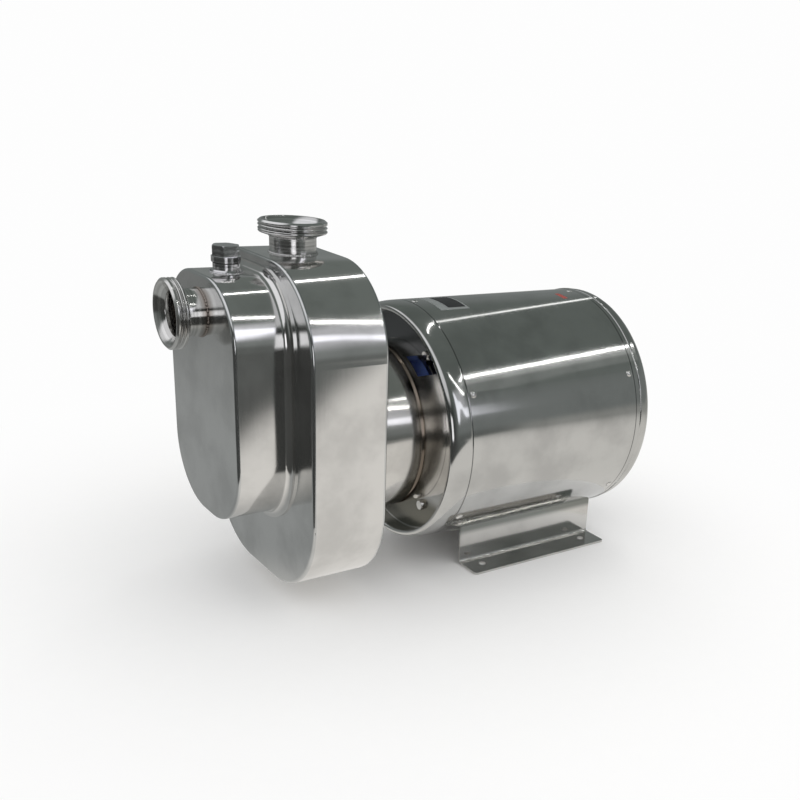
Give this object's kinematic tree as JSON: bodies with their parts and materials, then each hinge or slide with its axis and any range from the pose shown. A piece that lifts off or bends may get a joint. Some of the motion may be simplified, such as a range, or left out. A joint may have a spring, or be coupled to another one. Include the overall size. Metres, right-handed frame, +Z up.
{
  "type": "food-grade pump",
  "caption": "Self-priming stainless pump with two rounded tanks, threaded dairy ports and a shrouded motor on a bent-sheet foot.",
  "frame": {"origin": "middle of the four foot holes, on the plane that the foot stands on", "axes": "+X along the shaft from the suction port to the motor, +Z up, -Y the side seen in the picture"},
  "size_m": [0.623, 0.314, 0.449],
  "materials": {
    "union_steel": "machined and polished stainless",
    "satin_steel": "fine satin stainless plate with polished edges",
    "tank_steel": "polished stainless sheet",
    "boss_steel": "machined stainless",
    "casing_steel": "polished stainless with heat tint at the joint",
    "inner_steel": "machined stainless",
    "shroud_steel": "mirror-polished stainless sheet",
    "foot_steel": "polished bent stainless sheet",
    "bolt_steel": "stainless fasteners",
    "blue_paint": "glossy blue enamel",
    "bearing_steel": "ground bearing steel",
    "core_steel": "varnished laminations",
    "copper": "varnished copper windings",
    "seal_rubber": "black rubber",
    "seal_carbon": "lapped carbon",
    "seal_ceramic": "lapped ceramic",
    "black_plastic": "moulded black plastic",
    "grille_steel": "cut stainless guard"
  },
  "bodies": {
    "pump_set": {"suction_union": "union_steel", "suction_stub": "union_steel", "front_tank_plate": "satin_steel", "front_tank_shell": "tank_steel", "front_tank_collar": "tank_steel", "fill_boss": "boss_steel", "flap_pin": "inner_steel", "flap_ears": "inner_steel", "rear_tank_front_plate": "satin_steel", "rear_tank_shell": "tank_steel", "rear_tank_back_plate": "satin_steel", "discharge_stub": "union_steel", "discharge_union": "union_steel", "suction_tube": "inner_steel", "pump_casing": "casing_steel", "diffuser": "inner_steel", "seal_seat": "seal_ceramic", "back_cover": "casing_steel", "casing_bolts": "bolt_steel", "lantern": "casing_steel", "flange_bolts": "bolt_steel", "motor_front_endshield": "blue_paint", "front_bearing_outer": "bearing_steel", "motor_frame": "blue_paint", "stator_core": "core_steel", "front_winding": "copper", "rear_winding": "copper", "rear_bearing_outer": "bearing_steel", "motor_rear_endshield": "blue_paint", "terminal_box": "blue_paint", "terminal_cover": "blue_paint", "shroud_front_cap": "shroud_steel", "shroud_jacket": "shroud_steel", "shroud_rear_cap": "shroud_steel", "air_grille": "grille_steel", "jacket_screws": "bolt_steel", "cable_gland": "black_plastic", "foot_bracket": "foot_steel", "foot_bolts": "bolt_steel"},
    "rotor_set": {"shaft": "inner_steel", "impeller": "inner_steel", "impeller_key": "inner_steel", "impeller_nut": "inner_steel", "seal_bellows": "seal_rubber", "seal_face": "seal_carbon", "water_flinger": "seal_rubber", "front_bearing_inner": "bearing_steel", "rear_bearing_inner": "bearing_steel", "rotor": "core_steel", "cooling_fan": "black_plastic"},
    "flap": {"check_flap": "inner_steel"},
    "gasket": {"fill_gasket": "seal_rubber"},
    "plug": {"fill_plug": "boss_steel"}
  },
  "joints": [
    {"name": "shaft_turn", "type": "hinge", "parent": "pump_set", "child": "rotor_set", "pos_m": [0, 0, 0.19], "axis": [1, 0, 0], "continuous": true},
    {"name": "flap_swing", "type": "hinge", "parent": "pump_set", "child": "flap", "pos_m": [-0.4187, 0, 0.385], "axis": [0, -1, 0], "range_deg": [0, 50]},
    {"name": "plug_lift", "type": "slide", "parent": "pump_set", "child": "gasket", "axis": [0, 0, 1], "range_m": [0, 0.0146]},
    {"name": "plug_turn", "type": "hinge", "parent": "gasket", "child": "plug", "pos_m": [-0.395, 0, 0.41], "axis": [0, 0, 1], "range_deg": [0, 2880]}
  ],
  "couplings": [
    {"joint": "plug_lift", "follows": "plug_turn", "m_per_rad": 0.00028871}
  ]
}
